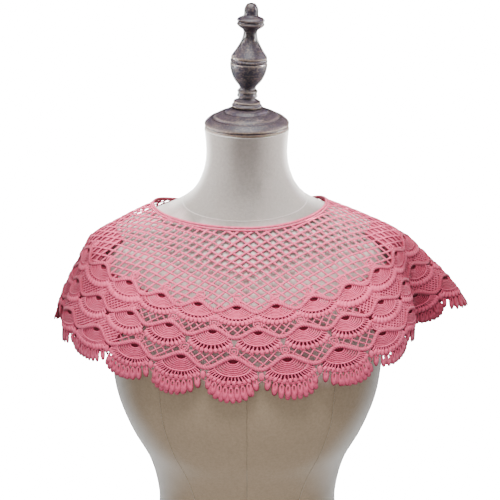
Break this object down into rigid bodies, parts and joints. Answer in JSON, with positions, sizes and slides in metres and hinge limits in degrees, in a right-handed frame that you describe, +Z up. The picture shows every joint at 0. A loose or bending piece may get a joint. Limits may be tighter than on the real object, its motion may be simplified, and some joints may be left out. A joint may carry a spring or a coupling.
{
  "type": "lace collar on a dress form",
  "caption": "Wide scalloped lace collar draped round the neck and shoulders of a limbless dress form with a turned wooden neck cap and finial.",
  "frame": {"origin": "on the form's flat underside, below the axis of the neck", "axes": "+Z up, -Y is the wearer's front, +X is the viewer's right as seen from the front"},
  "size_m": [0.552, 0.3485, 0.8676],
  "materials": {
    "pink_lace": "matt cotton guipure lace, dusty pink",
    "form_cloth": "matt greige woven cover",
    "turned_wood": "worn dark paint over turned wood"
  },
  "bodies": {
    "root": {"neck_cord": "pink_lace", "yoke_front": "pink_lace", "yoke_back": "pink_lace", "border_front": "pink_lace", "border_back": "pink_lace", "dress_form": "form_cloth", "neck_cap": "turned_wood", "finial": "turned_wood"}
  },
  "joints": []
}
